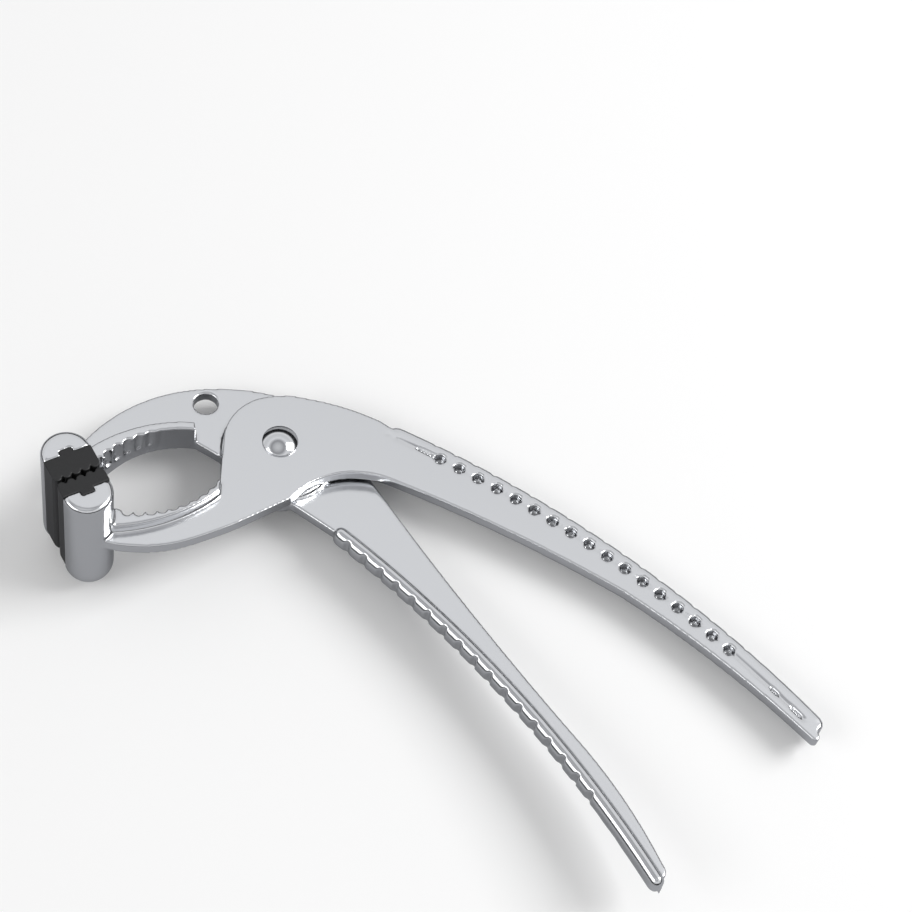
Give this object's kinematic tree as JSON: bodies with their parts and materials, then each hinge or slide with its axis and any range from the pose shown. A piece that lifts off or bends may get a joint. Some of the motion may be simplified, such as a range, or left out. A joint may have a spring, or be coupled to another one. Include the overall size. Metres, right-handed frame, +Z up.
{
  "type": "lobster cracker",
  "caption": "Crossed-lever shellfish cracker: two plated castings on one rivet, toothed jaws with ribbed rubber pads on tall posts, and beaded handles.",
  "frame": {"origin": "middle of the bounding box, on the table the cracker lies on", "axes": "+Z up from the table, +X from the jaws towards the handle ends, +Y away from the lower handle"},
  "size_m": [0.1898, 0.1308, 0.0385],
  "materials": {
    "lever_chrome": "bright chrome plate on a zinc casting",
    "rivet_steel": "plated steel, polished dome",
    "washer_steel": "plain stamped steel",
    "pad_rubber": "black moulded rubber, semi-matt"
  },
  "bodies": {
    "top_body": {"top_lever": "lever_chrome", "pivot_rivet": "rivet_steel", "rivet_washer": "washer_steel", "top_lever_pad": "pad_rubber"},
    "bottom_body": {"bottom_lever": "lever_chrome", "bottom_lever_pad": "pad_rubber"}
  },
  "joints": [
    {"name": "lever_pivot", "type": "hinge", "parent": "top_body", "child": "bottom_body", "pos_m": [-0.03671, 0.04759, 0.00915], "axis": [-0.1239, -0.1684, -0.9779], "range_deg": [0, 40]}
  ]
}
